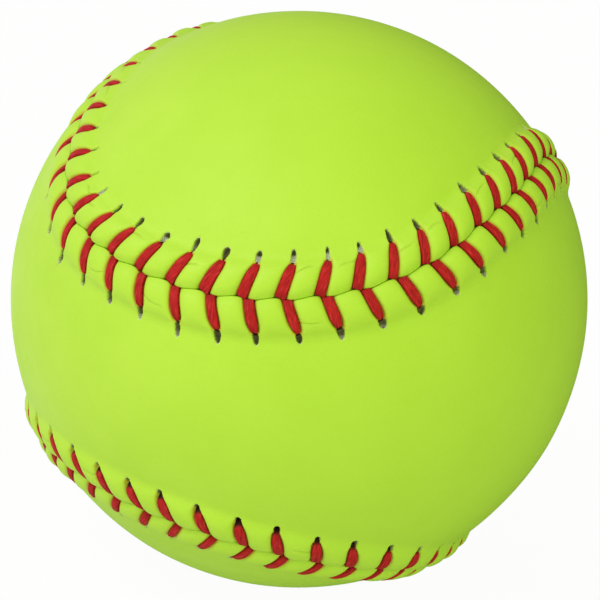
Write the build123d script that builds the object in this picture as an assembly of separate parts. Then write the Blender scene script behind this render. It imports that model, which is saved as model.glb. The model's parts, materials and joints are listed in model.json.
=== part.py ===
from build123d import *
import os
from math import acos, atan2, cos, degrees, pi, radians, sin, sqrt, tan

# A slow-pitch softball: a solid moulded core, two figure-eight cover panels and the two
# threads that lace them together. Millimetres. The origin is the centre of the ball and
# +Z is up. The front panel runs from the left lobe over the front waist, on -Y, to the
# right lobe. The back panel is the same piece turned: top lobe, back waist, bottom lobe.

# Ball and cover
circumference = 304.8
cover_thickness = 1.5

# Seam line, measured along the cover
waist_width = 39.8
straight_run = 33.4
seam_gap = 0.3

# Raised roll along the edge of each panel
roll_height = 1.4
roll_crest = 2.4
roll_radius = 5.0
foot_radius = 3.0

# Laced thread, which shows as one strand over the roll for each stitch on each side
stitches_per_quarter = 23
first_stitch = 0.7
thread_width = 1.7
thread_thickness = 0.9
thread_clearance = 0.06
strand_lean = radians(19)
strand_stagger = 1.1
hole_slack = 0.5

# Working limits
join_tolerance = 1e-4
pole_margin = radians(5)

# Sizes that follow from those
ball_radius = circumference / (2 * pi)
core_radius = ball_radius - cover_thickness
half_run = straight_run / 2 / ball_radius
crown = pi / 2 - waist_width / 2 / ball_radius
lobe_angle = atan2(sqrt(2) * cos(half_run) - cos(crown), sin(crown))
lobe_tilt = crown - lobe_angle
crest_turn = roll_crest / ball_radius
gap_turn = seam_gap / 2 / ball_radius
roll_centre = ball_radius + roll_height - roll_radius
foot_centre = ball_radius + foot_radius
strand_inner = roll_radius - thread_thickness
strand_low = core_radius + thread_clearance
strand_swing = acos((strand_low - roll_centre) / strand_inner)
seam_side = -roll_crest
lip_side = seam_side + seam_gap / 2
leg_side = lip_side + thread_thickness
hole_side = roll_radius * sin(strand_swing) + hole_slack

# Directions from the centre that fix the seam: the middle of the straight run between
# the top and right lobes, the two lobes' axes, the pole of that run on the top lobe's
# side, and the points where the run touches each lobe's circle
centre = Vector(0, 0, 0)
run_middle = Vector(1, 0, 1).normalized()
top_axis = Vector(0, -sin(lobe_tilt), cos(lobe_tilt))
right_axis = Vector(cos(lobe_tilt), sin(lobe_tilt), 0)
backwards = top_axis.cross(run_middle).normalized()
upwards = run_middle.cross(backwards)
pole_rise = sin(lobe_angle) / top_axis.dot(upwards)
run_pole = upwards * pole_rise + backwards * sqrt(1 - pole_rise**2)
top_touch = (top_axis - run_pole * sin(lobe_angle)).normalized()
right_touch = (right_axis + run_pole * sin(lobe_angle)).normalized()
right_tip = Vector(0, 0, 1).cross(right_axis)


def mirrored(direction):
    return Vector(-direction.X, direction.Y, direction.Z)


def quarter_turned(direction):
    return Vector(-direction.Z, -direction.Y, direction.X)


def turned_to_back(shape):
    """The fourfold turn with a flip that carries the front panel onto the back panel."""
    return mirror(shape, Plane.XZ).rotate(Axis.Y, -90)


def angle_about(axis, start, end):
    outward = start - axis * start.dot(axis)
    return atan2(end.dot(axis.cross(outward)), end.dot(outward)) % (2 * pi)


def at(radius, turn):
    return Vector(radius * sin(turn), 0, radius * cos(turn))


def on_roll(radius, across):
    return Vector(across, 0, roll_centre + sqrt(radius**2 - across**2))


def arc(middle, start, end):
    radius = (start - middle).length
    bulge = (start + end) / 2 - middle
    return Edge.make_three_point_arc(start, middle + bulge.normalized() * radius, end)


def outline(points):
    ends = points[1:] + points[:1]
    return [Edge.make_line(start, end) for start, end in zip(points, ends)]


# Cover panels

def panel_section(seam_turn, way, far_turn):
    """From the lip over the roll and its foot to far_turn, one cover thickness deep."""
    foot_swing = acos(
        (roll_centre**2 + foot_centre**2 - (roll_radius + foot_radius) ** 2)
        / (2 * roll_centre * foot_centre)
    )
    lip_swing = crest_turn - gap_turn
    lip_reach = sqrt(roll_radius**2 - (roll_centre * sin(lip_swing)) ** 2)
    crest = seam_turn + way * crest_turn
    foot = crest + way * foot_swing
    roll = at(roll_centre, crest)
    hollow = at(foot_centre, foot)
    lip = at(roll_centre * cos(lip_swing) + lip_reach, seam_turn + way * gap_turn)
    lip_under = lip + (roll - lip).normalized() * cover_thickness
    bend = roll + (hollow - roll).normalized() * roll_radius
    bend_under = bend + (roll - bend).normalized() * cover_thickness
    edges = [
        arc(roll, lip, bend),
        arc(hollow, bend, at(ball_radius, foot)),
        arc(centre, at(ball_radius, foot), at(ball_radius, far_turn)),
        Edge.make_line(at(ball_radius, far_turn), at(core_radius, far_turn)),
        arc(centre, at(core_radius, far_turn), at(core_radius, foot)),
        arc(hollow, at(core_radius, foot), bend_under),
        arc(roll, bend_under, lip_under),
        Edge.make_line(lip_under, lip),
    ]
    return Face(Wire(edges))


def turned_about(axis, start, turn, section):
    plane = Plane(origin=centre, x_dir=start - axis * start.dot(axis), z_dir=axis)
    return plane.location * revolve(section, Axis.Z, degrees(turn))


def upper_sectors():
    """The upper half of the front panel: its waist, two straight runs and two half lobes."""
    reach = 2 * ball_radius
    upper = Pos(0, 0, reach / 2) * Box(2 * reach, 2 * reach, reach)
    run_turn = angle_about(-run_pole, right_touch, top_touch)
    tip_turn = angle_about(right_axis, right_tip, right_touch)
    waist_section = panel_section(lobe_angle, 1, pi - lobe_angle)
    run_section = panel_section(pi / 2, -1, pole_margin)
    lobe_section = panel_section(lobe_angle, -1, 0)
    waist = turned_about(top_axis, mirrored(top_touch), lobe_turn, waist_section) & upper
    run = turned_about(-run_pole, right_touch, run_turn, run_section) & upper
    lobe = turned_about(right_axis, right_tip, tip_turn, lobe_section)
    return [waist, run, lobe, mirror(run, Plane.YZ), mirror(lobe, Plane.YZ)]


def is_join(face):
    """The sectors meet on planes through the centre of the ball."""
    if face.geom_type != GeomType.PLANE:
        return False
    return abs(face.normal_at().dot(face.center())) < join_tolerance


def punched_panel(rooms):
    """The upper sectors, cut for the thread, closed by the same half turned upside down."""
    faces = [face for sector in upper_sectors() for face in sector.cut(*rooms).faces()]
    half = [face for face in faces if not is_join(face)]
    return Solid(Shell(half + [face.rotate(Axis.Y, 180) for face in half]))


# Stitches

def seam_at(along):
    """Point and heading on the quarter of the seam round the top lobe, from right to left."""
    if along > quarter / 2:
        point, forward = seam_at(quarter - along)
        return mirrored(point), -mirrored(forward)
    if along < half_run:
        ahead = (top_touch - run_middle * top_touch.dot(run_middle)).normalized()
        point = run_middle * cos(along) + ahead * sin(along)
        return point, ahead * cos(along) - run_middle * sin(along)
    turn = degrees((along - half_run) / sin(lobe_angle))
    point = top_touch.rotate(Axis(centre, top_axis), -turn)
    return point, point.cross(top_axis).normalized()


def stitch_stations(shift):
    """Evenly spaced round the seam, the first just past the middle of a straight run."""
    start = (first_stitch + shift) / ball_radius
    pitch = quarter / stitches_per_quarter
    stations = [seam_at(start + step * pitch) for step in range(stitches_per_quarter)]
    for _ in range(3):
        last = stations[-stitches_per_quarter:]
        stations += [(quarter_turned(point), quarter_turned(forward)) for point, forward in last]
    return stations


def strand_place(station):
    """On the crest of the front panel's roll, so that the strand leads to its station."""
    point, forward = station
    across = point.cross(forward)
    trail = roll_crest * tan(strand_lean) / ball_radius
    crest = (point + across * crest_turn - forward * trail).normalized()
    return Plane(origin=centre, x_dir=across - crest * across.dot(crest), z_dir=crest).location


def slanted(side_view, width):
    reach = 2 * (roll_crest + roll_radius)
    lean = Rot(0, 0, degrees(strand_lean))
    slab = Pos(0, 0, ball_radius) * lean * Box(2 * reach, width, reach)
    return extrude(Face(Wire(side_view)), reach, dir=(0, 1, 0), both=True) & slab


def strand():
    """One visible strand: out of its hole, over the roll and down into the seam."""
    pivot = Vector(0, 0, roll_centre)
    foot_outer = on_roll(roll_radius, roll_radius * sin(strand_swing))
    foot_inner = on_roll(strand_inner, strand_inner * sin(strand_swing))
    leg_outer = on_roll(roll_radius, lip_side)
    leg_inner = on_roll(strand_inner, leg_side)
    leg_low = [Vector(lip_side, 0, strand_low), Vector(leg_side, 0, strand_low)]
    straight = outline([foot_inner, foot_outer, leg_outer, *leg_low, leg_inner])
    over = arc(pivot, foot_outer, leg_outer)
    under = arc(pivot, leg_inner, foot_inner)
    return slanted([straight[0], over, *straight[2:5], under], thread_width)


def strand_room():
    """What is cut away for a strand: slot in the lip, groove and hole, open above."""
    low = core_radius - thread_thickness
    high = ball_radius + 2 * roll_height
    inner = strand_inner - thread_clearance
    slot_side = leg_side + thread_clearance
    slot_top = on_roll(inner, slot_side)
    groove_end = Vector(sqrt(inner**2 - (low - roll_centre) ** 2), 0, low)
    corners = [
        slot_top,
        groove_end,
        Vector(hole_side, 0, low),
        Vector(hole_side, 0, high),
        Vector(seam_side, 0, high),
        Vector(seam_side, 0, low),
        Vector(slot_side, 0, low),
    ]
    groove = arc(Vector(0, 0, roll_centre), slot_top, groove_end)
    return slanted([groove, *outline(corners)[1:]], thread_width + 2 * thread_clearance)


lobe_turn = angle_about(top_axis, mirrored(top_touch), top_touch)
quarter = 2 * half_run + lobe_turn * sin(lobe_angle)
room = strand_room()
stitch = strand().solid()

# The two strands of a stitch lie side by side in the seam, the back panel's ahead
front_places = [strand_place(station) for station in stitch_stations(-strand_stagger / 2)]
back_places = [strand_place(station) for station in stitch_stations(strand_stagger / 2)]
front_panel = punched_panel([place * room for place in front_places])
back_panel = turned_to_back(punched_panel([place * room for place in back_places]))
front_strands = [place * stitch for place in front_places]
back_strands = [turned_to_back(place * stitch) for place in back_places]

# The threads alternate: each crosses the front roll at every other stitch and the back
# roll at the stitches between
odd = stitches_per_quarter % 2
first_thread = front_strands[0::2] + back_strands[1 - odd::2]
second_thread = front_strands[1::2] + back_strands[odd::2]

os.makedirs("parts", exist_ok=True)
export_step(Sphere(core_radius), "parts/core.step")
export_step(front_panel, "parts/front_panel.step")
export_step(back_panel, "parts/back_panel.step")
export_step(Compound(first_thread), "parts/first_thread.step")
export_step(Compound(second_thread), "parts/second_thread.step")
print("stitches", len(front_places), "seam length", round(4 * quarter * ball_radius, 1))
for panel in (front_panel, back_panel):
    print("panel", round(panel.volume, 1), panel.is_valid)
print("strand", round(stitch.volume, 2))
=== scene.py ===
import json
import math
import bpy
import numpy as np
from mathutils import Matrix, Vector
from mathutils.geometry import delaunay_2d_cdt


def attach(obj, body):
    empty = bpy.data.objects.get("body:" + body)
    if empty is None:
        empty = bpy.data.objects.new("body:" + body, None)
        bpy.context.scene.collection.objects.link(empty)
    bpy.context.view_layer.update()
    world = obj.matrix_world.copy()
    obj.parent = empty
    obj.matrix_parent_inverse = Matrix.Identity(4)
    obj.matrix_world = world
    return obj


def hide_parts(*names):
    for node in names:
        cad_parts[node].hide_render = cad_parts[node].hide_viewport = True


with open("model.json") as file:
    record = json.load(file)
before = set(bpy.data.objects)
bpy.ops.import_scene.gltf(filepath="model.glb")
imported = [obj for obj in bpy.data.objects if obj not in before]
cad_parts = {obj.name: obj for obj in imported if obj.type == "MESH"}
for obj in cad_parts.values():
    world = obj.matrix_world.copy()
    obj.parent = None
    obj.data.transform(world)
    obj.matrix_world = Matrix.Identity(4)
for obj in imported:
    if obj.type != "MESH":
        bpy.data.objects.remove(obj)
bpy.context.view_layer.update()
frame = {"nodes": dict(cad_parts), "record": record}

mm = 0.001
print("frame loaded:", ", ".join(sorted(frame["nodes"])))

# The ball: seam sizes are measured along the cover
ball = {
    "radius": frame["record"]["size"]["bbox_m"][0] / 2,
    "waistWidth": 39.8 * mm,
    "straightRun": 33.4 * mm,
    "stitches": 92,
    "firstStitch": 0.7 * mm,  # ahead of the middle of a straight run
    # the hide rises and falls in soft waves
    "waves": 14,
    "waveHeight": 0.1 * mm,
    "waveLengths": (11 * mm, 34 * mm),
    "seed": 12,
    # hand lacing pulls the seam to one side: stitch, pull towards the front panel in mm, reach
    "pulls": (
        (15.0, 1.2, 1.5),
        (8.0, -0.5, 2.2),
        (19.3, -1.3, 1.3),
        (86.9, 3.7, 1.7),
        (92.0, 0.5, 1.2),
        (56.8, -1.2, 2.0),
        (65.5, 1.7, 1.9),
    ),
    # each V draws the seam into a step, deeper in places: stitch, added depth in mm, reach
    "step": 0.17 * mm,
    "steps": ((20.0, 0.2, 4.0), (59.0, 0.16, 5.0)),
    "stepReach": 3.6 * mm,
    # the roll lies flatter in places: stitch, part of its height, reach
    "settles": ((20.5, 0.42, 3.2), (55.0, 0.22, 3.0)),
}
radius = ball["radius"]


def unit(v):
    return v / np.linalg.norm(v, axis=-1, keepdims=True)


def smooth(low, high, x):
    part = np.clip((x - low) / (high - low), 0, 1)
    return part * part * (3 - 2 * part)


# Seam line: four lobe circles joined by four straight runs, as unit vectors from the centre
halfRun = ball["straightRun"] / 2 / radius
crown = math.pi / 2 - ball["waistWidth"] / 2 / radius
lobeAngle = math.atan2(math.sqrt(2) * math.cos(halfRun) - math.cos(crown), math.sin(crown))
lobeTilt = crown - lobeAngle
runMiddle = unit(np.array([1.0, 0.0, 1.0]))
topAxis = np.array([0.0, -math.sin(lobeTilt), math.cos(lobeTilt)])
backwards = unit(np.cross(topAxis, runMiddle))
upwards = np.cross(runMiddle, backwards)
poleRise = math.sin(lobeAngle) / (topAxis @ upwards)
runPole = upwards * poleRise + backwards * math.sqrt(1 - poleRise**2)
topTouch = unit(topAxis - runPole * math.sin(lobeAngle))
runAhead = unit(topTouch - runMiddle * (topTouch @ runMiddle))
lobeSpoke = unit(topTouch - topAxis * (topTouch @ topAxis))
lobeTurn = 2 * math.acos(lobeSpoke @ np.array([0.0, -math.cos(lobeTilt), -math.sin(lobeTilt)]))
quarter = 2 * halfRun + lobeTurn * math.sin(lobeAngle)
seamLength = 4 * quarter * radius
stitchPitch = seamLength / ball["stitches"]


def plainSeam(along):
    turn = np.asarray(along, float) / radius
    quarterNo = np.floor(turn / quarter).astype(int) % 4
    local = turn % quarter
    late = local > quarter / 2
    near = np.where(late, quarter - local, local)[..., None]
    swing = (near - halfRun) / math.sin(lobeAngle)
    runPoint = runMiddle * np.cos(near) + runAhead * np.sin(near)
    runHeading = runAhead * np.cos(near) - runMiddle * np.sin(near)
    lobePoint = topTouch * np.cos(swing) - np.cross(topAxis, topTouch) * np.sin(swing)
    lobePoint = lobePoint + topAxis * (topAxis @ topTouch) * (1 - np.cos(swing))
    lobeHeading = unit(np.cross(lobePoint, topAxis))
    point = np.where(near < halfRun, runPoint, lobePoint)
    heading = np.where(near < halfRun, runHeading, lobeHeading)
    sign = np.where(late, -1.0, 1.0)[..., None]
    point = point * np.concatenate([sign, sign**2, sign**2], -1)
    heading = heading * np.concatenate([sign**2, sign, sign], -1)
    for step in range(1, 4):
        turned = (quarterNo >= step)[..., None]
        point = np.where(turned, point[..., [2, 1, 0]] * [-1, -1, 1], point)
        heading = np.where(turned, heading[..., [2, 1, 0]] * [-1, -1, 1], heading)
    return point, heading


# Sum of soft bumps along the seam: each has its middle stitch, its value and its reach in stitches
def bumps(along, entries):
    stitch = (np.asarray(along, float) - ball["firstStitch"]) / stitchPitch
    half = ball["stitches"] / 2
    total = np.zeros(stitch.shape)
    for middle, value, reach in entries:
        away = (stitch - middle + half) % ball["stitches"] - half
        total = total + value * np.exp(-0.5 * (away / reach) ** 2)
    return total


# The seam as laced: the plain line and its heading, moved sideways by the pulls
def seamAt(along):
    along = np.asarray(along, float)
    point, heading = plainSeam(along)
    across = np.cross(point, heading)
    step = 0.1 * stitchPitch
    shift = bumps(along, ball["pulls"]) * mm
    gain = bumps(along + step, ball["pulls"]) - bumps(along - step, ball["pulls"])
    slant = gain * mm / (2 * step)
    swing = (shift / radius)[..., None]
    moved = point * np.cos(swing) + across * np.sin(swing)
    heading = heading + across * slant[..., None]
    heading = heading - moved * np.sum(heading * moved, -1, keepdims=True)
    return moved, unit(heading)


# At each V the seam steps towards the back panel, and drifts forward again up to the next
def seamStep(along):
    laid = along - bumps(along, lacing["slides"]) * mm - ball["firstStitch"]
    depth = ball["step"] + bumps(along, ball["steps"]) * mm
    return -depth * np.sin(2 * math.pi * laid / stitchPitch)


# side is 1 for the front panel and -1 for the back panel
def onBall(side, along, out, height, beside=0):
    point, heading = seamAt(along)
    across = np.cross(point, heading) * side
    out = np.asarray(out)
    stepped = side * seamStep(along + beside) * (1 - smooth(0, ball["stepReach"], out))
    swing = ((out + stepped) / radius)[..., None]
    return (point * np.cos(swing) + across * np.sin(swing)) * (radius + np.asarray(height))[..., None]


# Slow rise and fall of the hide, a few soft waves in random directions
def waviness(points):
    rng = np.random.default_rng(ball["seed"])
    total = np.zeros(points.shape[:-1])
    for wave in range(ball["waves"]):
        direction = unit(rng.normal(size=3))
        length = rng.uniform(*ball["waveLengths"])
        start = rng.uniform(0, 2 * math.pi)
        total = total + np.sin(points @ direction * 2 * math.pi / length + start)
    return total / ball["waves"] * ball["waveHeight"]


# Roll along each edge: an arc over the crest, a hollow foot, then the plain ball
roll = {
    "height": 1.4 * mm,
    "crest": 2.4 * mm,
    "radius": 5.0 * mm,
    "footRadius": 3.0 * mm,
    "lipGap": 0.006 * mm,
    "lipReach": 0.3 * mm,
    "lipDrop": 0.28 * mm,
    "puff": 0.26 * mm,  # extra swell of each pillow between two strands
    "puffRise": 1.2 * mm,  # the swell is full from here out
    "puffEnd": (3.6 * mm, 6.4 * mm),  # and fades between these
    "shoulder": 1.4 * mm,  # from a strand's edge to the top of the pillow
    "shoulderPower": 2.4,  # 2 is a plain quarter round
    "shoulderLoss": 0.7,  # how much narrower the shoulder is at the holes
    "shoulderEnd": (3.8 * mm, 5.4 * mm),  # where it narrows
    "creaseDepth": 0.14 * mm,
    "creaseWidth": 0.22 * mm,
    "creaseEnds": (0.12, 0.42),  # parts of a pillow from the crease's middle to its faded ends
    "creaseEdge": 0.3,  # fades beside the strands too
}


def rollHeight(out):
    offset = out - roll["crest"]
    rollPivot = roll["height"] - roll["radius"]
    both = roll["radius"] + roll["footRadius"]
    footOffset = math.sqrt(both**2 - (roll["footRadius"] - rollPivot) ** 2)
    bend = footOffset * roll["radius"] / both
    over = rollPivot + np.sqrt(np.maximum(roll["radius"] ** 2 - offset**2, 0))
    inFoot = np.clip(footOffset - offset, 0, roll["footRadius"])
    foot = roll["footRadius"] - np.sqrt(roll["footRadius"] ** 2 - inFoot**2)
    return np.where(offset < bend, over, foot)


def rollLift(along):
    return 1 - bumps(along, ball["settles"])


# Lacing: each strand leaves its hole, crosses the roll and dives into the seam
lacing = {
    "lean": math.radians(19),
    # extra lean in places, in degrees, for each panel
    "leans": {
        1: ((6.0, -5.0, 7.0), (60.0, 4.0, 5.0)),
        -1: ((6.0, 6.0, 7.0), (60.0, 5.0, 5.0), (90.8, 8.0, 1.7)),
    },
    # how far the stitches slide along, in mm
    "slides": (
        (6.0, 0.25, 7.0),
        (89.3, 2.6, 2.3),
        (54.5, -0.9, 1.5),
        (59.0, -1.0, 3.5),
        (64.0, -0.45, 2.0),
    ),
    # where strands lie higher and reach further, in mm
    "raises": ((60.0, 0.12, 6.0), (90.0, 0.12, 3.5)),
    "reaches": {1: ((57.5, -0.7, 3.5),), -1: ((91.3, 0.3, 1.6),)},
    # where strands are fuller, and where they are pinched at the seam, as parts of their width
    "fuller": {
        1: ((60.0, 0.08, 6.0), (90.0, -0.06, 3.5), (18.5, -0.3, 4.0)),
        -1: ((60.0, -0.18, 6.0), (90.0, -0.06, 3.5), (19.0, -0.22, 4.0)),
    },
    "pinches": ((90.0, 0.28, 4.5), (20.0, 0.3, 4.5), (58.0, 0.22, 4.5)),
    "pinchReach": 2.4 * mm,
    "stagger": 1.3 * mm,  # the two strands of a V lie side by side
    "bow": 0.2,  # part of the lean that comes late, towards the hole
    "turnOut": 4.4 * mm,  # from here the slit turns back square to the seam
    "turnReach": 1.3 * mm,
    "bedDepth": 1.02 * mm,
    "bedEnd": (4.3 * mm, 5.6 * mm),  # where the bed under the strand runs out
    "seamHalf": 0.81 * mm,  # half width of a strand at the seam and at its hole
    "holeEnd": 0.5 * mm,
    "narrowing": (3.2 * mm, 5.6 * mm),  # where it goes from one to the other
    "thick": 0.86 * mm,
    "creased": {1: 0.2, -1: 0.5},  # part of the pillows with a crease
    "seeds": {1: 31, -1: 47},
}

# Slits: the holes that the strands come out of
slit = {
    "out": 6.1 * mm,
    "half": 1.14 * mm,
    "wide": 0.44 * mm,
    "depth": 1.2 * mm,
    "floor": 1.3 * mm,  # the lowest that a slit goes below the ball
    "widePower": 1.5,  # shape of the rim, across and along
    "longPower": 3.0,
    "steepness": 2.2,
    "roundness": 0.6,
    # where slits are wider and longer, as parts of their size, for each panel
    "widths": {
        1: ((0.0, 0.35, 4.5),),
        -1: ((0.0, 0.3, 4.5), (6.0, -0.2, 3.0), (11.0, 0.3, 1.8), (20.5, -0.7, 3.2)),
    },
    "lengths": {
        1: ((59.0, -0.35, 5.0), (90.0, -0.3, 3.0), (4.0, -0.2, 3.5)),
        -1: ((20.5, -0.4, 3.2), (90.0, -0.42, 3.0)),
    },
    # how much narrower a slit is at its far end, everywhere and in places
    "taper": 0.1,
    "tapers": {1: ((0.0, 0.4, 6.0),), -1: ((0.0, 0.4, 6.0), (11.0, -0.6, 2.2))},
    # how much pale backing shows, everywhere and in places, and how far it fills the slit
    "backing": {1: 0.3, -1: 0.4},
    "backings": {
        1: ((3.5, 0.45, 3.0),),
        -1: ((1.0, -0.6, 3.0), (7.5, 0.5, 1.4), (11.5, -0.5, 1.6)),
    },
    "backingFill": 0.6,
    # it shows at the far end on the front panel, near the strand on the back
    "backingEnds": {1: (0.1, 0.6), -1: (0.6, 0.0)},
}

# How much stitches differ from each other, as standard deviations or as ranges
handwork = {
    "lean": math.radians(1.5),
    "reach": 0.14 * mm,
    "foot": 0.1 * mm,
    "slitLength": 0.1,
    "slitWidth": 0.1,
    "slitTaper": 0.08,
    "slitBacking": 0.5,
    "proud": 0.04 * mm,
    "width": 0.05,
    "puff": 0.2,
    "creaseOut": (3.4 * mm, 4.8 * mm),
    "noCrease": 30 * mm,  # a crease this far out is off the roll
    "creaseTilt": 0.7 * mm,
    "creaseBow": (0, 0.7 * mm),
    "creaseMiddle": (0.2, 0.8),
    "twist": (0, 2 * math.pi),
}


# One row of numbers per stitch on one panel, each a little different from the next
def laceSide(side):
    rng = np.random.default_rng(lacing["seeds"][side])
    count = ball["stitches"]
    station = ball["firstStitch"] + np.arange(count) * stitchPitch

    def local(piece, key):
        return bumps(station, piece[key][side])

    def vary(key):
        return rng.normal(0, handwork[key], count)

    def between(key):
        return rng.uniform(*handwork[key], count)

    lean = lacing["lean"] + np.radians(local(lacing, "leans")) + vary("lean")
    holeOut = slit["out"] + local(lacing, "reaches") * mm + vary("reach")
    holeHalf = slit["half"] * (1 + local(slit, "lengths") + vary("slitLength"))
    foot = station - side * lacing["stagger"] / 2 + bumps(station, lacing["slides"]) * mm
    lace = {
        "side": side,
        "foot": foot + vary("foot"),
        "slope": np.tan(lean),
        "lift": rollLift(station),
        "strandEnd": holeOut - strand["diveEnd"],
        "holeOut": holeOut + holeHalf - slit["half"],
        "holeHalf": holeHalf,
        "holeWide": slit["wide"] * (1 + local(slit, "widths") + vary("slitWidth")),
        "taper": slit["taper"] + local(slit, "tapers") + vary("slitTaper"),
        "proud": bumps(station, lacing["raises"]) * mm + vary("proud"),
        "wide": 1 + local(lacing, "fuller") + vary("width"),
        "pinch": bumps(station, lacing["pinches"]),
    }
    backing = slit["backing"][side] + local(slit, "backings") + vary("slitBacking")
    lace["backing"] = np.clip(backing, 0, 1)
    creased = rng.random(count) < lacing["creased"][side]
    lace["crease"] = np.where(creased, between("creaseOut"), handwork["noCrease"])
    lace["creaseTilt"] = vary("creaseTilt")
    lace["creaseBow"] = between("creaseBow")
    lace["creaseMiddle"] = between("creaseMiddle")
    lace["puff"] = 1 + vary("puff")
    lace["twist"] = between("twist")
    return lace


# Where strand number index runs: upright at the seam, leaning more towards its hole
def strandAlong(lace, index, out):
    past = np.maximum(out - lacing["turnOut"], 0)
    eased = lacing["turnReach"] * (1 - np.exp(-past / lacing["turnReach"]))
    part = (np.minimum(out, lacing["turnOut"]) + eased) / slit["out"]
    trail = slit["out"] * ((1 - lacing["bow"]) * part + lacing["bow"] * part**2)
    lap = (index // ball["stitches"]) * seamLength
    index = index % ball["stitches"]
    return lace["foot"][index] + lap - lace["slope"][index] * trail


def strandHalf(lace, index, out):
    taper = smooth(*lacing["narrowing"], out)
    half = lacing["seamHalf"] + (lacing["holeEnd"] - lacing["seamHalf"]) * taper
    pinch = lace["pinch"][index] * (1 - smooth(0, lacing["pinchReach"], out))
    return half * lace["wide"][index] * (1 - pinch)


# Cover panels: a fine strip along the seam, then the open field, then the underside
cover = {
    "lipRows": (0, 0.15, 0.3, 0.45, 0.6, 0.8),  # parts of the lip's reach, crowded at the seam
    "rollRows": 15,
    "rollEnd": 4.6 * mm,
    "slitRows": 21,
    "slitSpan": (4.75 * mm, 7.75 * mm),
    "fieldRows": (8.1 * mm, 8.7 * mm, 9.5 * mm),
    "bedColumns": (0, 0.45, 0.82, 1.0),  # parts of the strand's half width
    "pillowColumns": (0.05, 0.13, 0.26, 0.45, 0.7),  # parts of the way to mid pillow
    "fadeRings": ((10.1 * mm, 2), (10.9 * mm, 3), (12.0 * mm, 4)),  # distance out, columns skipped
    "fieldStep": 1.2 * mm,
    "underRings": ((1.5 * mm, 6), (4.0 * mm, 9), (8.0 * mm, 9)),
    "underStep": 3.0 * mm,
    "underDepth": 1.45 * mm,
    "ringSpace": 0.8,  # from the last ring to the even spread, in steps
    "seamStep": 0.4 * mm,
    # values that the material reads: the strip's own, its unit, and the value off the strip
    "layers": {
        "outFromSeam": ("out", mm, 14.0),
        "besideStrand": ("beside", mm, 3.0),
        "holeOut": ("holeOut", mm, 6.6),
        "holeHalf": ("holeHalf", mm, 1.1),
        "holeWide": ("holeWide", mm, 0.5),
        "backing": ("backing", 1, 0.0),
        "creaseAway": ("creaseAway", mm, 30.0),
        "creaseFade": ("creaseFade", 1, 0.0),
        "lipDepth": ("lip", mm, 0.0),
    },
}


# Distance out of every row, and how far the lip drops there
def rowLayout():
    lip = np.array(cover["lipRows"])
    lipOut = roll["lipGap"] + roll["lipReach"] * lip**2
    rollOut = np.linspace(roll["lipGap"] + roll["lipReach"], cover["rollEnd"], cover["rollRows"])
    slitOut = np.linspace(*cover["slitSpan"], cover["slitRows"])
    out = np.concatenate([lipOut, rollOut, slitOut, cover["fieldRows"]])
    drop = np.zeros(len(out))
    drop[: len(lip)] = roll["lipDrop"] * (1 - lip) ** 3
    return out, drop


# Columns of one row, from each strand's middle to the next one's, even about mid pillow
def rowColumns(lace, rowOut):
    index = np.arange(ball["stitches"])
    here = strandAlong(lace, index, rowOut)
    following = strandAlong(lace, index + 1, rowOut)
    halfGap = (following - here) / 2
    half = strandHalf(lace, index, rowOut)
    halfNext = np.roll(half, -1)
    rising = [part * half for part in cover["bedColumns"]]
    rising += [half + part * (halfGap - half) for part in cover["pillowColumns"]]
    falling = [part * halfNext for part in cover["bedColumns"][1:]]
    falling += [halfNext + part * (halfGap - halfNext) for part in cover["pillowColumns"]]
    beside = np.stack(rising + [halfGap] + falling[::-1], 1)
    turn = len(rising) + 1
    along = np.concatenate(
        [here[:, None] + beside[:, :turn], following[:, None] - beside[:, turn:]], 1
    )
    owner = np.repeat(index[:, None], beside.shape[1], 1)
    owner[:, turn:] = (owner[:, turn:] + 1) % len(index)
    across = (along - here[:, None]) / (2 * halfGap[:, None])  # 0 to 1 over the pillow
    return {"along": along, "beside": beside, "owner": owner, "across": across}


# The roll with its swell between strands, less the bed under each strand
def pillowHeight(lace, row, rowOut):
    owner = row["owner"]
    edge = np.maximum(row["beside"] - strandHalf(lace, owner, rowOut), 0)
    width = roll["shoulder"] * (1 - roll["shoulderLoss"] * smooth(*roll["shoulderEnd"], rowOut))
    power = roll["shoulderPower"]
    shoulder = (1 - (1 - np.clip(edge / width, 0, 1)) ** power) ** (1 / power)
    bedLeft = 1 - smooth(*lacing["bedEnd"], rowOut)
    bed = (lacing["bedDepth"] - lace["proud"][owner]) * bedLeft
    onRoll = smooth(0, roll["puffRise"], rowOut) * (1 - smooth(*roll["puffEnd"], rowOut))
    swell = np.abs(np.sin(math.pi * row["across"]))
    puff = roll["puff"] * lace["puff"][:, None] * swell * onRoll
    return rollHeight(rowOut) * rollLift(row["along"]) + puff - bed * (1 - shoulder)


# Crease across a pillow: how far from it each point is, and how strong it is there
def creaseLine(lace, row, rowOut):
    swell = np.sin(math.pi * row["across"]) ** 2
    creaseOut = lace["crease"][:, None] + lace["creaseTilt"][:, None] * (row["across"] - 0.5)
    creaseOut = creaseOut + lace["creaseBow"][:, None] * (swell - 1)
    aside = np.abs(row["across"] - lace["creaseMiddle"][:, None])
    fade = (1 - smooth(*roll["creaseEnds"], aside)) * smooth(0, roll["creaseEdge"], swell)
    return rowOut - creaseOut, fade


# Slit: a steep pit with an oval rim along the strand, partly filled by pale backing
def slitPit(lace, row, rowOut):
    owner = row["owner"]
    run = (rowOut - lace["holeOut"][owner]) / lace["holeHalf"][owner]
    wide = lace["holeWide"][owner] * (1 - lace["taper"][owner] * np.clip(run, -1, 1))
    spread = (row["beside"] / wide) ** slit["widePower"] + np.abs(run) ** slit["longPower"]
    pit = np.clip((1 - spread) * slit["steepness"], 0, 1) ** slit["roundness"]
    shown = smooth(*slit["backingEnds"][lace["side"]], run)
    backing = shown * lace["backing"][owner]
    return pit * (1 - slit["backingFill"] * backing), wide, backing


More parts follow.
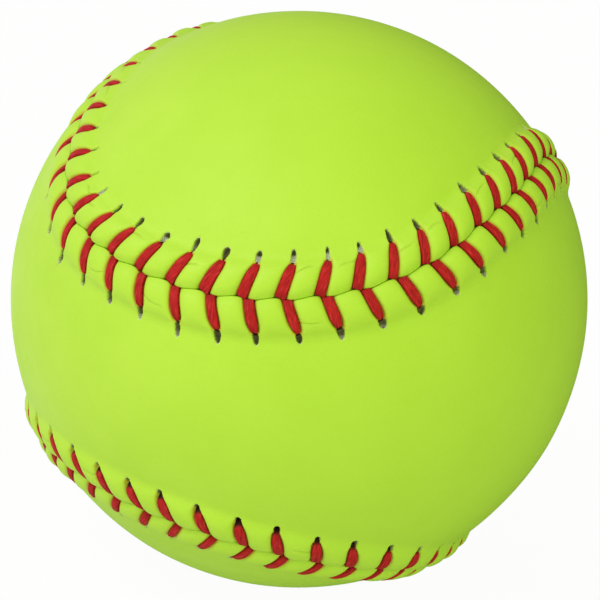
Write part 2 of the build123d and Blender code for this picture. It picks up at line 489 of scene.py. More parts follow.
def panelStrip(lace):
    rows = []
    for rowOut, rowDrop in zip(*rowLayout()):
        row = rowColumns(lace, rowOut)
        pit, holeWide, backing = slitPit(lace, row, rowOut)
        creaseAway, creaseFade = creaseLine(lace, row, rowOut)
        crease = np.exp(-((creaseAway / roll["creaseWidth"]) ** 2)) * creaseFade
        height = pillowHeight(lace, row, rowOut) - rowDrop - roll["creaseDepth"] * crease
        height = np.maximum(height - slit["depth"] * pit, -slit["floor"])
        out = np.full(height.shape, rowOut)
        place = onBall(lace["side"], row["along"], out, height)
        flat = unit(place)
        place = place + flat * waviness(flat * radius)[..., None]
        rows.append({
            "place": place.reshape(-1, 3),
            "along": row["along"].ravel(),
            "beside": row["beside"].ravel(),
            "out": out.ravel(),
            "holeOut": lace["holeOut"][row["owner"]].ravel(),
            "holeHalf": lace["holeHalf"][row["owner"]].ravel(),
            "holeWide": holeWide.ravel(),
            "backing": backing.ravel(),
            "creaseAway": creaseAway.ravel(),
            "creaseFade": creaseFade.ravel(),
            "lip": np.full(height.size, rowDrop),
        })
    return rows


# Evenly spread points on the panel at least margin inside the seam
def fieldPoints(side, margin, step, seam):
    point, across = seam
    cell = step**2 * 0.866  # one point's share of a grid of even triangles
    total = int(4 * math.pi * radius**2 / cell)
    number = np.arange(total) + 0.5
    rise = 1 - 2 * number / total
    turn = number * math.pi * (1 + math.sqrt(5))
    level = np.sqrt(1 - rise**2)
    spread = np.stack([level * np.cos(turn), rise, level * np.sin(turn)], 1)
    kept = []
    chunks = 12  # to save memory
    for chunk in np.array_split(spread, chunks):
        closeness = chunk @ point.T
        nearest = closeness.argmax(1)
        away = np.arccos(np.clip(closeness.max(1), -1, 1)) * radius
        inside = np.einsum("ij,ij->i", chunk, across[nearest]) * side > 0
        kept.append(chunk[inside & (away > margin)])
    return np.concatenate(kept)


# Triangles over a patch of the ball inside a closed border, worked out on a flat map
# that is projected from the pole opposite the panel
def ballPatch(side, border, inner):
    every = unit(np.concatenate([border, inner]))
    depth = 1 + side * -every[:, 1]
    flat = np.stack([every[:, 0], every[:, 2]], 1) / depth[:, None]
    loop = list(range(len(border)))
    points = [Vector(p) for p in flat]
    insideOnly = 1
    mergeDistance = 1e-12
    result = delaunay_2d_cdt(points, [], [loop], insideOnly, mergeDistance)
    source = [found[0] for found in result[3]]
    faces = np.array([[source[corner] for corner in face] for face in result[2]])
    corners = every[faces]
    normal = np.cross(corners[:, 1] - corners[:, 0], corners[:, 2] - corners[:, 0])
    inward = np.einsum("ij,ij->i", normal, corners[:, 0]) < 0
    faces[inward] = faces[inward][:, ::-1]
    return faces


# Points inside the strip's edge: rings that thin out, then an even spread
def patchPoints(side, along, layout, step, depth, seam):
    places = []
    outs = []
    for out, skip in layout:
        kept = along[::skip]
        distance = np.full(len(kept), out)
        places.append(onBall(side, kept, distance, np.full(len(kept), -depth)))
        outs.append(distance)
    margin = layout[-1][0] + step * cover["ringSpace"]
    places.append(fieldPoints(side, margin, step, seam) * (radius - depth))
    return np.concatenate(places), np.concatenate(outs)


# Quads between neighbouring closed rings of points
def ringQuads(rings, around):
    column = np.arange(around)
    onward = np.roll(column, -1)
    bands = []
    for ring in range(rings - 1):
        low, high = ring * around, (ring + 1) * around
        bands.append(np.stack([column + low, onward + low, onward + high, column + high], 1))
    return np.concatenate(bands)


# A smooth mesh with its values per point
def makePiece(name, places, faces, layers):
    mesh = bpy.data.meshes.new(name)
    mesh.from_pydata(places.tolist(), [], faces)
    mesh.polygons.foreach_set("use_smooth", [True] * len(mesh.polygons))
    for label, values in layers.items():
        attribute = mesh.attributes.new(label, "FLOAT", "POINT")
        attribute.data.foreach_set("value", values.astype(np.float32))
    mesh.update()
    piece = bpy.data.objects.new(name, mesh)
    bpy.context.scene.collection.objects.link(piece)
    print(name, "faces", len(faces))
    return piece


def coverPanel(name, side):
    rows = panelStrip(laces[side])
    strip = {key: np.concatenate([row[key] for row in rows]) for key in rows[0]}
    first, last = rows[0], rows[-1]
    columns = len(first["along"])
    stripSize = len(strip["place"])
    quads = ringQuads(len(rows), columns)
    if side < 0:
        quads = quads[:, ::-1]
    point, heading = seamAt(np.arange(0, seamLength, cover["seamStep"]))
    seam = (point, np.cross(point, heading))

    # open field
    layout, step = cover["fadeRings"], cover["fieldStep"]
    field, ringOut = patchPoints(side, last["along"], layout, step, 0, seam)
    fieldFaces = ballPatch(side, last["place"], field)
    field = field + unit(field) * waviness(field)[:, None]
    fieldMap = np.arange(stripSize - columns, stripSize + len(field))
    fieldFaces = fieldMap[fieldFaces]

    # underside, which rests on the core
    layout, step = cover["underRings"], cover["underStep"]
    under = patchPoints(side, last["along"], layout, step, cover["underDepth"], seam)[0]
    underFaces = ballPatch(side, first["place"], under)[:, ::-1]
    underStart = stripSize + len(field)
    underMap = np.concatenate([np.arange(columns), np.arange(len(under)) + underStart])
    underFaces = underMap[underFaces]

    places = np.concatenate([strip["place"], field, under])
    faces = quads.tolist() + fieldFaces.tolist() + underFaces.tolist()
    layers = {}
    for label, (key, scale, plain) in cover["layers"].items():
        layers[label] = np.full(len(places), plain)
        layers[label][:stripSize] = strip[key] / scale
    layers["outFromSeam"][stripSize : stripSize + len(ringOut)] = ringOut / mm
    return makePiece(name, places, faces, layers)


# Thread: a waxed two-ply strand over each roll at every stitch
strand = {
    "overRings": 12,
    "diveRings": 9,
    "around": 18,
    "fit": 0.99,  # of the bed's width
    "squareness": 0.78,  # 1 is a plain ellipse
    "seamSquareness": 0.35,  # where the strands of a V meet
    "rounding": (0.2 * mm, 1.6 * mm),  # from the one to the other
    "plyDent": 0.3,
    "plyWidth": 0.2,
    "plyWander": 0.3,
    "plyTurn": 9.0 * mm,
    "seamFace": 0.004 * mm,  # from the seam to the upright end of the strand
    "legDrop": 0.1 * mm,
    "legRise": 0.3,  # part of the thickness
    # the end's upper edge: how far down it starts, its corner, and two points on the top
    "browDrop": 0.06 * mm,
    "browCorner": (0.03 * mm, 0.01 * mm),
    "browSteps": (0.16 * mm, 0.45 * mm),
    "cornerCore": 0.04 * mm,
    "diveRun": 0.95 * mm,
    "diveDepth": 1.3 * mm,
    "divePower": 2.2,
    "diveEnd": 0.5 * mm,  # from the middle of the hole back to the strand's end
    "shaded": (-0.65 * mm, -0.3 * mm),  # where the hole's shade begins, from that end
    "lookAhead": 0.05 * mm,
    "toneSpread": 7.3,
}


def strandTop(out, lift, proud):
    return rollHeight(out) * lift + proud


# Side view of a strand: the outer and inner point of every ring, from seam to hole
def strandProfile(holeEnd, lift, proud):
    thick = lacing["thick"]
    face = strand["seamFace"]
    diveStart = holeEnd - strand["diveRun"]
    over = np.linspace(face + thick, diveStart, strand["overRings"])
    dive = np.linspace(diveStart, holeEnd, strand["diveRings"] + 1)[1:]
    out = np.concatenate([over, dive])
    dived = np.clip((out - diveStart) / strand["diveRun"], 0, 1)
    top = strandTop(out, lift, proud) - strand["diveDepth"] * dived ** strand["divePower"]
    tilt = np.arctan(np.gradient(top, out))
    outer = np.stack([out, top], 1)
    inner = outer - np.stack([-np.sin(tilt), np.cos(tilt)], 1) * thick
    # the end turns down into the seam round a nearly square corner
    pivot = inner[0]
    brow = strandTop(face, lift, proud)
    cornerIn, cornerDown = strand["browCorner"]
    corner = [
        (face, pivot[1] - strand["legDrop"]),
        (face, pivot[1] + strand["legRise"] * thick),
        (face, brow - strand["browDrop"]),
        (face + cornerIn, brow - cornerDown),
    ]
    corner += [(face + step, strandTop(face + step, lift, proud)) for step in strand["browSteps"]]
    corner = np.array(corner)
    core = pivot + unit(corner - pivot) * strand["cornerCore"]
    core[0] = pivot - [0, strand["legDrop"]]
    return np.concatenate([corner, outer]), np.concatenate([core, inner])


def strandMesh(lace, index):
    side = lace["side"]
    holeEnd = lace["strandEnd"][index]
    outer, inner = strandProfile(holeEnd, lace["lift"][index], lace["proud"][index])
    middle = (outer + inner) / 2
    upright = (outer - inner) / 2
    out = outer[:, 0]
    number = np.full(len(out), index)
    half = strandHalf(lace, number, out) * strand["fit"]
    # which way is sideways at every ring
    step = strand["lookAhead"]
    level = np.zeros(len(out))
    behind = onBall(side, strandAlong(lace, number, out - step), out - step, level)
    before = onBall(side, strandAlong(lace, number, out + step), out + step, level)
    sideways = unit(np.cross(behind + before, before - behind))
    # section: flat at the seam, rounder over the roll, with a dent between the plies
    angle = np.linspace(0, 2 * math.pi, strand["around"], endpoint=False)
    squareness = strand["squareness"] - strand["seamSquareness"]
    power = strand["seamSquareness"] + squareness * smooth(*strand["rounding"], out)[:, None]
    wide = np.sign(np.cos(angle)) * np.abs(np.cos(angle)) ** power
    tall = np.sign(np.sin(angle)) * np.abs(np.sin(angle)) ** power
    length = np.concatenate([[0], np.cumsum(np.linalg.norm(np.diff(outer, axis=0), axis=1))])
    turn = 2 * math.pi * length / strand["plyTurn"] + lace["twist"][index]
    plyLine = wide - strand["plyWander"] * np.sin(turn)[:, None]
    dent = 1 - strand["plyDent"] * np.exp(-((plyLine / strand["plyWidth"]) ** 2))
    rise = np.where(tall > 0, tall * dent, tall)
    profile = middle[:, None] + upright[:, None] * rise[..., None]
    along = strandAlong(lace, np.full(rise.shape, index), profile[..., 0])
    reach = wide * half[:, None]
    places = onBall(side, along, profile[..., 0], profile[..., 1], -side * reach)
    places = places + sideways[:, None] * reach[..., None]

    def perRing(values):
        return np.repeat(values[:, None], len(angle), 1)

    layers = {
        "threadAlong": perRing(length) / mm,
        "threadAcross": wide,
        "plyLine": plyLine,
        "strandTone": np.full(wide.shape, math.sin(strand["toneSpread"] * lace["twist"][index])),
        "threadOut": perRing(out) / mm,
        # how far the thread has gone into its hole's painted shade
        "inHoleShade": perRing(smooth(*strand["shaded"], out - holeEnd)),
    }
    return places, layers


def laceThread(name, members):
    around = strand["around"]
    rings = len(strandProfile(slit["out"], 1.0, 0.0)[0])
    size = rings * around
    body = ringQuads(rings, around)
    column = np.arange(around)
    places, faces, layers = [], [], {}
    for number, (side, index) in enumerate(members):
        strandPlaces, strandLayers = strandMesh(laces[side], index)
        places.append(strandPlaces.reshape(-1, 3))
        base = number * size
        faces += (body + base).tolist()
        faces.append((column[::-1] + base).tolist())
        faces.append((column + base + size - around).tolist())
        for label, values in strandLayers.items():
            layers.setdefault(label, []).append(values.ravel())
    layers = {label: np.concatenate(values) for label, values in layers.items()}
    return makePiece(name, np.concatenate(places), faces, layers)


# Shader helpers
def addNode(tree, kind, **values):
    node = tree.nodes.new(kind)
    for key, value in values.items():
        if hasattr(node, key):
            setattr(node, key, value)
        else:
            node.inputs[key].default_value = value
    return node


def join(tree, *pairs):
    for source, target in pairs:
        tree.links.new(source, target)


def calc(tree, operation, *values, clamp=False):
    node = addNode(tree, "ShaderNodeMath", operation=operation, use_clamp=clamp)
    for socket, value in zip(node.inputs, values):
        if isinstance(value, (int, float)):
            socket.default_value = value
        else:
            tree.links.new(value, socket)
    return node.outputs[0]


def ramp(tree, value, low, high, atLow=0.0, atHigh=1.0):
    node = addNode(tree, "ShaderNodeMapRange", interpolation_type="SMOOTHSTEP")
    limits = {"From Min": low, "From Max": high, "To Min": atLow, "To Max": atHigh}
    for name, number in limits.items():
        node.inputs[name].default_value = number
    tree.links.new(value, node.inputs["Value"])
    return node.outputs["Result"]


def layer(tree, name):
    return addNode(tree, "ShaderNodeAttribute", attribute_name=name).outputs["Fac"]


def blendColour(tree, factor, first, second, kind="MIX"):
    node = addNode(tree, "ShaderNodeMix", data_type="RGBA", blend_type=kind)
    sockets = [node.inputs["Factor"], node.inputs[6], node.inputs[7]]
    for socket, value in zip(sockets, (factor, first, second)):
        if isinstance(value, (int, float, tuple)):
            socket.default_value = value
        else:
            tree.links.new(value, socket)
    return node.outputs[2]


def newGroup(name, inputs, outputs):
    group = bpy.data.node_groups.new(name, "ShaderNodeTree")
    for label, kind, value in inputs:
        socket = group.interface.new_socket(name=label, in_out="INPUT", socket_type=kind)
        socket.default_value = value
    for label, kind in outputs:
        group.interface.new_socket(name=label, in_out="OUTPUT", socket_type=kind)
    return group, group.nodes.new("NodeGroupInput"), group.nodes.new("NodeGroupOutput")


def placeGroup(tree, group, **values):
    node = tree.nodes.new("ShaderNodeGroup")
    node.node_tree = group
    for label, value in values.items():
        node.inputs[label].default_value = value
    return node


# Colour that drifts slowly over a surface, with a fine speckle on top
def toneDriftGroup():
    group, given, put = newGroup(
        "toneDrift",
        [
            ("Light", "NodeSocketColor", (1, 1, 1, 1)),
            ("Deep", "NodeSocketColor", (0, 0, 0, 1)),
            ("Patch", "NodeSocketFloat", 60.0),
            ("Speckle", "NodeSocketFloat", 2500.0),
        ],
        [("Color", "NodeSocketColor"), ("Mask", "NodeSocketFloat")],
    )
    place = addNode(group, "ShaderNodeTexCoord").outputs["Object"]
    patch = addNode(group, "ShaderNodeTexNoise", Detail=3.0, Roughness=0.55)
    speckle = addNode(group, "ShaderNodeTexNoise", Detail=2.0, Roughness=0.6)
    join(
        group,
        (place, patch.inputs["Vector"]),
        (place, speckle.inputs["Vector"]),
        (given.outputs["Patch"], patch.inputs["Scale"]),
        (given.outputs["Speckle"], speckle.inputs["Scale"]),
    )
    patchShare = 0.7  # the rest is speckle
    wide = calc(group, "MULTIPLY", patch.outputs["Fac"], patchShare)
    fine = calc(group, "MULTIPLY", speckle.outputs["Fac"], 1 - patchShare)
    contrast = (0.3, 0.7)
    mask = ramp(group, calc(group, "ADD", wide, fine), *contrast)
    colour = blendColour(group, mask, given.outputs["Deep"], given.outputs["Light"])
    join(group, (colour, put.inputs["Color"]), (mask, put.inputs["Mask"]))
    return group


# Pebbled skin: small soft cells broken up by finer noise
def pebbleGroup():
    group, given, put = newGroup(
        "pebble",
        [("Cell", "NodeSocketFloat", 2000.0), ("Fine", "NodeSocketFloat", 6000.0)],
        [("Height", "NodeSocketFloat")],
    )
    place = addNode(group, "ShaderNodeTexCoord").outputs["Object"]
    cell = addNode(group, "ShaderNodeTexVoronoi", feature="SMOOTH_F1", Smoothness=0.6)
    fine = addNode(group, "ShaderNodeTexNoise", Detail=3.0)
    join(
        group,
        (place, cell.inputs["Vector"]),
        (place, fine.inputs["Vector"]),
        (given.outputs["Cell"], cell.inputs["Scale"]),
        (given.outputs["Fine"], fine.inputs["Scale"]),
    )
    bump = calc(group, "SUBTRACT", 1.0, cell.outputs["Distance"])
    fineShare = 0.5  # of a cell's height
    mixed = calc(group, "ADD", bump, calc(group, "MULTIPLY", fine.outputs["Fac"], fineShare))
    join(group, (mixed, put.inputs["Height"]))
    return group


toneDrift = toneDriftGroup()
pebble = pebbleGroup()


def newMaterial(name):
    material = bpy.data.materials.new(name)
    material.use_nodes = True
    tree = material.node_tree
    return material, tree, tree.nodes["Principled BSDF"]


def bumpOn(tree, height, distance, normal=None):
    node = addNode(tree, "ShaderNodeBump", Distance=distance)
    tree.links.new(height, node.inputs["Height"])
    if normal is not None:
        tree.links.new(normal, node.inputs["Normal"])
    return node.outputs["Normal"]


def finishDrift(tree, finish):
    return placeGroup(
        tree,
        toneDrift,
        Light=finish["light"],
        Deep=finish["deep"],
        Patch=finish["patch"],
        Speckle=finish["speckle"],
    )


coverFinish = {
    "light": (0.465, 0.745, 0.045, 1),
    "deep": (0.435, 0.715, 0.038, 1),
    "patch": 70.0,
    "speckle": 2600.0,
    "roughness": (0.61, 0.51),  # where deep and where light
    "specular": 0.35,
    "seamShade": (0.33, 0.4, 0.018, 1),
    "shadeDepths": (0.03, 0.4),  # mm below the roll
    # red beside the thread, dye rubbing off it and painted red bounce light: how much, how far beside it,
    # where it ends, in mm
    "rubbedDyeAndBounceRed": (0.62, 0.4, 0.02, 1),
    "rubbedDyeAndBounce": 0.5,
    "rubbedDyeAndBounceReach": 0.45,
    "rubbedDyeAndBounceEnd": (5.8, 5.0),
    # slits: the pit's painted shade, its paler mottling, the backing and the cut edge of the hide; pairs
    # are where an effect starts and where it is full
    # painted shade in the slit's pit
    "hole": (0.09, 0.09, 0.03, 1),
    "holePale": (0.34, 0.33, 0.17, 1),
    "backing": (0.7, 0.72, 0.62, 1),
    "cutEdge": (0.72, 0.83, 0.4, 1),
    "holeRim": (1.1, 0.8),  # of the slit's own size, so 1 is its rim
    "cutRim": (1.5, 1.1),
    "cutFrom": (0.4, 0.9),  # towards the far end
    "cutShare": 0.6,
    "mottle": (0.45, 0.6),
    "backingFrom": (0.1, 0.5),
    "backingFluff": (0.42, 0.52),
    "holeRough": 0.45,  # added to the skin's
    "fluff": 1600.0,
    "ragged": 0.5,
    # relief
    "grain": 2100.0,
    "fineGrain": 6500.0,
    "grainDepth": 0.012 * mm,
    "wrinkleDepth": 0.09 * mm,
    "wrinklesOut": 2.6,  # per mm
    "wrinklesBeside": 0.5,
    "wrinkleReach": (2.1, 0.9),  # mm beside the strand
    "wrinkleStart": (0.5, 2.0),  # mm out from the seam
    "wrinkleEnd": (8.0, 6.0),
    "creaseReach": (0.2, 0.0),
    "creaseDepth": 0.1 * mm,
}


# Paints the slits over the given colour, their inside as painted shade, and tells where they are
def slitColour(tree, colour, out, beside):
    run = calc(tree, "SUBTRACT", out, layer(tree, "holeOut"))
    run = calc(tree, "DIVIDE", run, layer(tree, "holeHalf"))
    wide = calc(tree, "DIVIDE", beside, layer(tree, "holeWide"))
    fluff = addNode(tree, "ShaderNodeTexNoise", Scale=coverFinish["fluff"], Detail=2.0).outputs["Fac"]
    ragged = calc(tree, "MULTIPLY", calc(tree, "SUBTRACT", fluff, 0.5), coverFinish["ragged"])
    lengthwise = calc(tree, "POWER", calc(tree, "ABSOLUTE", run), slit["longPower"])
    spread = calc(tree, "ADD", lengthwise, calc(tree, "POWER", wide, slit["widePower"]))
    spread = calc(tree, "ADD", spread, ragged)
    hole = ramp(tree, spread, *coverFinish["holeRim"])
    # the cut edge shows just outside the rim, at the far end
    farEnd = ramp(tree, run, *coverFinish["cutFrom"], 0.0, coverFinish["cutShare"])
    rim = calc(tree, "MULTIPLY", ramp(tree, spread, *coverFinish["cutRim"]), farEnd)
    colour = blendColour(tree, rim, colour, coverFinish["cutEdge"])
    mottled = ramp(tree, fluff, *coverFinish["mottle"])
    # inside the slit: painted shade, mottled paler
    inside = blendColour(tree, mottled, coverFinish["hole"], coverFinish["holePale"])
    colour = blendColour(tree, hole, colour, inside)
    filled = ramp(tree, layer(tree, "backing"), *coverFinish["backingFrom"])
    pale = calc(tree, "MULTIPLY", filled, ramp(tree, fluff, *coverFinish["backingFluff"]))
    pale = calc(tree, "MULTIPLY", pale, hole)
    return blendColour(tree, pale, colour, coverFinish["backing"]), hole


# Grain all over, wrinkles close beside the strands, and creases across some pillows
def coverRelief(tree, out, beside):
    lines = addNode(tree, "ShaderNodeCombineXYZ")
    join(
        tree,
        (calc(tree, "MULTIPLY", out, coverFinish["wrinklesOut"]), lines.inputs[0]),
        (calc(tree, "MULTIPLY", beside, coverFinish["wrinklesBeside"]), lines.inputs[1]),
        (layer(tree, "holeOut"), lines.inputs[2]),
    )
    wrinkle = addNode(tree, "ShaderNodeTexNoise", Scale=1.0, Detail=2.0)
    join(tree, (lines.outputs[0], wrinkle.inputs["Vector"]))
    close = ramp(tree, beside, *coverFinish["wrinkleReach"])
    for limit in ("wrinkleEnd", "wrinkleStart"):
        close = calc(tree, "MULTIPLY", close, ramp(tree, out, *coverFinish[limit]))
    wrinkleHeight = calc(tree, "MULTIPLY", wrinkle.outputs["Fac"], close)
    away = calc(tree, "ABSOLUTE", layer(tree, "creaseAway"))
    crease = ramp(tree, away, *coverFinish["creaseReach"])
    crease = calc(tree, "MULTIPLY", crease, layer(tree, "creaseFade"))
    crease = calc(tree, "SUBTRACT", 1.0, crease)
    grain = placeGroup(tree, pebble, Cell=coverFinish["grain"], Fine=coverFinish["fineGrain"])
    normal = bumpOn(tree, grain.outputs["Height"], coverFinish["grainDepth"])
    normal = bumpOn(tree, wrinkleHeight, coverFinish["wrinkleDepth"], normal)
    return bumpOn(tree, crease, coverFinish["creaseDepth"], normal)


def coverMaterial():
    material, tree, skin = newMaterial("opticCover")
    out = layer(tree, "outFromSeam")
    beside = layer(tree, "besideStrand")
    drift = finishDrift(tree, coverFinish)
    shaded = ramp(tree, layer(tree, "lipDepth"), *coverFinish["shadeDepths"])
    colour = blendColour(tree, shaded, drift.outputs["Color"], coverFinish["seamShade"])
    # the strand's edge is worked out as in strandHalf
    near, far = (limit / mm for limit in lacing["narrowing"])
    strandEdge = ramp(tree, out, near, far, lacing["seamHalf"] / mm, lacing["holeEnd"] / mm)
    fromEdge = calc(tree, "SUBTRACT", beside, strandEdge)
    # red beside the strands: dye rubbing off them and painted red light bounced from them
    rubbedDyeAndBounce = ramp(tree, fromEdge, coverFinish["rubbedDyeAndBounceReach"], 0.0, 0.0, coverFinish["rubbedDyeAndBounce"])
    rubbedDyeAndBounce = calc(tree, "MULTIPLY", rubbedDyeAndBounce, ramp(tree, out, *coverFinish["rubbedDyeAndBounceEnd"]))
    colour = blendColour(tree, rubbedDyeAndBounce, colour, coverFinish["rubbedDyeAndBounceRed"])
    colour, hole = slitColour(tree, colour, out, beside)
    rough = ramp(tree, drift.outputs["Mask"], 0.0, 1.0, *coverFinish["roughness"])
    holeRough = calc(tree, "MULTIPLY", hole, coverFinish["holeRough"])
    skin.inputs["Specular IOR Level"].default_value = coverFinish["specular"]
    join(
        tree,
        (colour, skin.inputs["Base Color"]),
        (calc(tree, "ADD", rough, holeRough, clamp=True), skin.inputs["Roughness"]),
        (coverRelief(tree, out, beside), skin.inputs["Normal"]),
    )
    return material


threadFinish = {
    "light": (0.52, 0.014, 0.017, 1),
    "deep": (0.4, 0.01, 0.011, 1),
    "patch": 400.0,
    "speckle": 6000.0,
    # deep red: painted shade on the sides, the ply line and the seam end, and the darker fibres' own
    # colour
    "edge": (0.18, 0.006, 0.007, 1),
    "paintedSheen": (0.66, 0.06, 0.065, 1),
    # painted shade on the thread inside its hole
    "inHoleShade": (0.03, 0.006, 0.005, 1),
    # where the sides, the line between the plies and the seam end get painted shade and some fibres are
    # darker, and how far; then the fibres with a painted sheen
    "sideShade": (0.72, 1.0, 0.0, 0.28),
    "plyShade": (0.16, 0.0, 0.0, 0.25),
    "seamEndShade": (1.3, 0.05, 0.0, 0.35),
    "fibreDark": (0.5, 0.34, 0.0, 0.7),
    "paintedSheenFibres": (0.54, 0.7, 0.0, 0.6),
    "fibreSize": 1.3,
    "fibresAcross": 3.2,
    "fibresAlong": 0.5,  # per mm
    "fibreTwist": 0.7,
    "fibreShift": 20.0,  # so that no two strands match
    "fibreDepth": 0.03 * mm,
    "roughness": (0.2, 0.8, 0.72, 0.5),  # from low to high fibres
    "specular": 0.12,
}


def threadMaterial():
    material, tree, yarn = newMaterial("waxedThread")
    along = layer(tree, "threadAlong")
    across = layer(tree, "threadAcross")
    drift = finishDrift(tree, threadFinish)
    # fibres lie along the strand with a slight twist, some of them darker, others paler with a painted
    # sheen
    twist = calc(tree, "MULTIPLY", along, threadFinish["fibreTwist"])
    slant = calc(tree, "ADD", calc(tree, "MULTIPLY", across, threadFinish["fibresAcross"]), twist)
    lines = addNode(tree, "ShaderNodeCombineXYZ")
    join(
        tree,
        (slant, lines.inputs[0]),
        (calc(tree, "MULTIPLY", along, threadFinish["fibresAlong"]), lines.inputs[1]),
        (calc(tree, "MULTIPLY", layer(tree, "strandTone"), threadFinish["fibreShift"]), lines.inputs[2]),
    )
    noise = addNode(tree, "ShaderNodeTexNoise", Scale=threadFinish["fibreSize"], Detail=3.0, Roughness=0.6)
    join(tree, (lines.outputs[0], noise.inputs["Vector"]))
    fibres = noise.outputs["Fac"]
    sides = calc(tree, "ABSOLUTE", across)
    plyLine = calc(tree, "ABSOLUTE", layer(tree, "plyLine"))
    # painted shade on the sides, on the line between the plies and at the seam end, with the darker fibres
    shadeAndDarkFibres = ramp(tree, sides, *threadFinish["sideShade"])
    for other in (
        ramp(tree, plyLine, *threadFinish["plyShade"]),
        ramp(tree, layer(tree, "threadOut"), *threadFinish["seamEndShade"]),
        ramp(tree, fibres, *threadFinish["fibreDark"]),
    ):
        shadeAndDarkFibres = calc(tree, "MAXIMUM", shadeAndDarkFibres, other)
    # painted sheen: a pinkish highlight on some fibres
    paintedSheen = ramp(tree, fibres, *threadFinish["paintedSheenFibres"])
    colour = blendColour(tree, paintedSheen, drift.outputs["Color"], threadFinish["paintedSheen"])
    colour = blendColour(tree, shadeAndDarkFibres, colour, threadFinish["edge"])
    # painted shade where the thread goes into its hole
    colour = blendColour(tree, layer(tree, "inHoleShade"), colour, threadFinish["inHoleShade"])
    yarn.inputs["Specular IOR Level"].default_value = threadFinish["specular"]
    join(
        tree,
        (colour, yarn.inputs["Base Color"]),
        (ramp(tree, fibres, *threadFinish["roughness"]), yarn.inputs["Roughness"]),
        (bumpOn(tree, fibres, threadFinish["fibreDepth"]), yarn.inputs["Normal"]),
    )
    return material


coreFinish = {
    "light": (0.76, 0.7, 0.52, 1),
    "deep": (0.66, 0.6, 0.43, 1),
    "patch": 120.0,
    "speckle": 1800.0,
    "roughness": (0.7, 0.6),  # where deep and where light
    "grain": 900.0,
    "fineGrain": 4000.0,
    "grainDepth": 0.03 * mm,
}


def coreMaterial():
    material, tree, foam = newMaterial("mouldedCore")
    drift = finishDrift(tree, coreFinish)
    grain = placeGroup(tree, pebble, Cell=coreFinish["grain"], Fine=coreFinish["fineGrain"])
    rough = ramp(tree, drift.outputs["Mask"], 0.0, 1.0, *coreFinish["roughness"])
    join(
        tree,
        (drift.outputs["Color"], foam.inputs["Base Color"]),
        (rough, foam.inputs["Roughness"]),
        (bumpOn(tree, grain.outputs["Height"], coreFinish["grainDepth"]), foam.inputs["Normal"]),
    )
    return material


laces = {1: laceSide(1), -1: laceSide(-1)}

print("building the cover")
coverSkin = coverMaterial()
for name, side in (("front_panel", 1), ("back_panel", -1)):
    panel = coverPanel(name + "_skin", side)
    panel.data.materials.append(coverSkin)
    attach(panel, "root")
    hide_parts(name)

print("lacing the seam")
waxedRed = threadMaterial()
for name, start in (("first_thread", 0), ("second_thread", 1)):
    stitches = range(ball["stitches"])
    members = [(1, index) for index in stitches if index % 2 == start]
    members += [(-1, index) for index in stitches if index % 2 != start]
    thread = laceThread(name + "_strands", members)
    thread.data.materials.append(waxedRed)
    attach(thread, "root")
    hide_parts(name)

print("finishing the core")
core = frame["nodes"]["core"]
core.data.materials.clear()
core.data.materials.append(coreMaterial())

# Studio: pale floor, one broad key from the upper left, a fill from the right
studio = {
    "floorSize": 6.0,
    "floorColour": (0.9, 0.9, 0.9, 1),
    "floorRoughness": 0.8,
    "floorSpecular": 0.1,
    "floorGlow": 0.96,  # the rest of what the camera sees is the lit floor with its shadow
    "across": (0.885, 0.465, 0.0),  # from left to right over the picture
    # light from the room, and what reflections show of it, from the left to the right
    "room": (0.75, 0.3),
    "roomEnds": (-0.8, 0.8),
    "mirror": (1.0, 0.03),
    "mirrorEnds": (-0.9, 0.0),
    "floorMirrorEnds": (-0.1, 0.05),
    "keyPower": 4.7,
    "keyColour": (1.0, 0.94, 0.98),
    "keySize": 0.7,
    "keyPlace": (-0.35, -0.6, 0.75),
    "fillPower": 4.5,
    "fillColour": (0.87, 1.0, 0.25),
    "fillSize": 0.9,
    "fillPlace": (0.85, -0.32, 0.58),
}


# How far to the right a place or a direction is, as the picture is seen
def leftToRight(tree, place):
    across = addNode(tree, "ShaderNodeVectorMath", operation="DOT_PRODUCT")
    across.inputs[1].default_value = studio["across"]
    join(tree, (place, across.inputs[0]))
    return across.outputs["Value"]


# Where the background shows white: straight to the camera or through glass
def seenDirectly(tree, path):
    return calc(tree, "MAXIMUM", path.outputs["Is Camera Ray"], path.outputs["Is Transmission Ray"])


def studioFloor():
    half = studio["floorSize"] / 2
    low = -radius
    mesh = bpy.data.meshes.new("floor")
    corners = [(-half, -half, low), (half, -half, low), (half, half, low), (-half, half, low)]
    mesh.from_pydata(corners, [], [(0, 1, 2, 3)])
    floor = bpy.data.objects.new("floor", mesh)
    bpy.context.scene.collection.objects.link(floor)
    material, tree, plain = newMaterial("paleFloor")
    plain.inputs["Base Color"].default_value = studio["floorColour"]
    plain.inputs["Roughness"].default_value = studio["floorRoughness"]
    plain.inputs["Specular IOR Level"].default_value = studio["floorSpecular"]
    glow = addNode(tree, "ShaderNodeEmission")
    mix = addNode(tree, "ShaderNodeMixShader")
    path = addNode(tree, "ShaderNodeLightPath")
    glossy = path.outputs["Is Glossy Ray"]
    seen = seenDirectly(tree, path)
    across = leftToRight(tree, addNode(tree, "ShaderNodeNewGeometry").outputs["Position"])
    mirror = ramp(tree, across, *studio["floorMirrorEnds"], *studio["mirror"])
    level = calc(tree, "MAXIMUM", seen, calc(tree, "MULTIPLY", glossy, mirror))
    shown = calc(tree, "MAXIMUM", calc(tree, "MULTIPLY", seen, studio["floorGlow"]), glossy)
    join(
        tree,
        (level, glow.inputs["Strength"]),
        (shown, mix.inputs[0]),
        (plain.outputs[0], mix.inputs[1]),
        (glow.outputs[0], mix.inputs[2]),
        (mix.outputs[0], tree.nodes["Material Output"].inputs["Surface"]),
    )
    floor.data.materials.append(material)


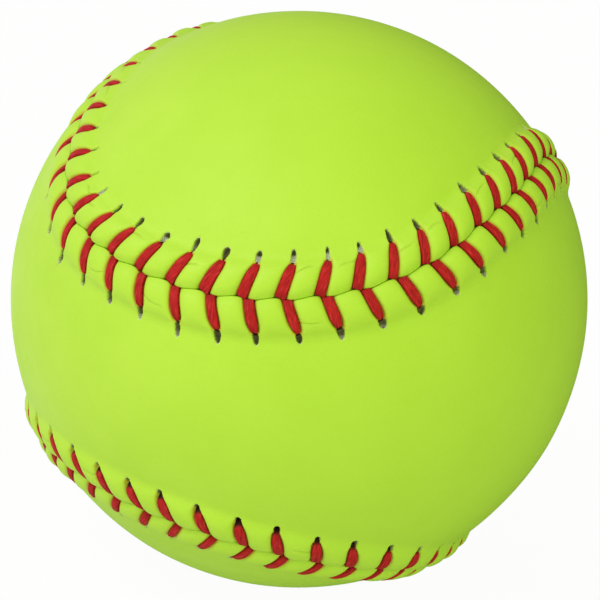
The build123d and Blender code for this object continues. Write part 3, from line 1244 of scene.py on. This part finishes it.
def studioWorld():
    world = bpy.data.worlds.new("studioWorld")
    world.use_nodes = True
    bpy.context.scene.world = world
    tree = world.node_tree
    sky = tree.nodes["Background"]
    sky.inputs["Color"].default_value = (1, 1, 1, 1)
    path = addNode(tree, "ShaderNodeLightPath")
    glossy = path.outputs["Is Glossy Ray"]
    across = leftToRight(tree, addNode(tree, "ShaderNodeTexCoord").outputs["Generated"])
    room = ramp(tree, across, *studio["roomEnds"], *studio["room"])
    mirror = ramp(tree, across, *studio["mirrorEnds"], *studio["mirror"])
    plainPart = calc(tree, "MULTIPLY", calc(tree, "SUBTRACT", 1.0, glossy), room)
    level = calc(tree, "ADD", plainPart, calc(tree, "MULTIPLY", glossy, mirror))
    level = calc(tree, "MAXIMUM", seenDirectly(tree, path), level)
    join(tree, (level, sky.inputs["Strength"]))


def softLamp(name, place, size, power, colour):
    lamp = bpy.data.lights.new(name, "AREA")
    lamp.shape = "DISK"
    lamp.size = size
    lamp.energy = power
    lamp.color = colour
    holder = bpy.data.objects.new(name, lamp)
    holder.location = place
    holder.rotation_euler = Vector(place).to_track_quat("Z", "Y").to_euler()
    bpy.context.scene.collection.objects.link(holder)


print("setting up the studio")
studioFloor()
studioWorld()
softLamp("keyLamp", studio["keyPlace"], studio["keySize"], studio["keyPower"], studio["keyColour"])
softLamp("fillLamp", studio["fillPlace"], studio["fillSize"], studio["fillPower"], studio["fillColour"])

# Camera: angles and distance as in the photograph, pixels in its 600 by 600 frame
view = {
    "azimuth": math.radians(27.72),
    "elevation": math.radians(27.03),
    "roll": math.radians(9.74),
    "distance": 7.542 * radius,
    "focalPixels": 2156.6,
    "imagePixels": 600,
    "ballPixel": (299.0, 299.2),
    "sensor": 36.0,
    "nearClip": 0.01,
}


def photoCamera():
    level = math.cos(view["elevation"])
    away = Vector((
        math.sin(view["azimuth"]) * level,
        -math.cos(view["azimuth"]) * level,
        math.sin(view["elevation"]),
    ))
    lens = bpy.data.cameras.new("photoCamera")
    lens.sensor_width = view["sensor"]
    lens.lens = view["focalPixels"] / view["imagePixels"] * view["sensor"]
    lens.shift_x = 0.5 - view["ballPixel"][0] / view["imagePixels"]
    lens.shift_y = view["ballPixel"][1] / view["imagePixels"] - 0.5
    lens.clip_start = view["nearClip"]
    holder = bpy.data.objects.new("photoCamera", lens)
    turn = away.to_track_quat("Z", "Y").to_matrix() @ Matrix.Rotation(view["roll"], 3, "Z")
    holder.matrix_world = Matrix.Translation(away * view["distance"]) @ turn.to_4x4()
    bpy.context.scene.collection.objects.link(holder)
    bpy.context.scene.camera = holder


print("placing the camera")
photoCamera()
bpy.context.scene.view_settings.view_transform = "Standard"
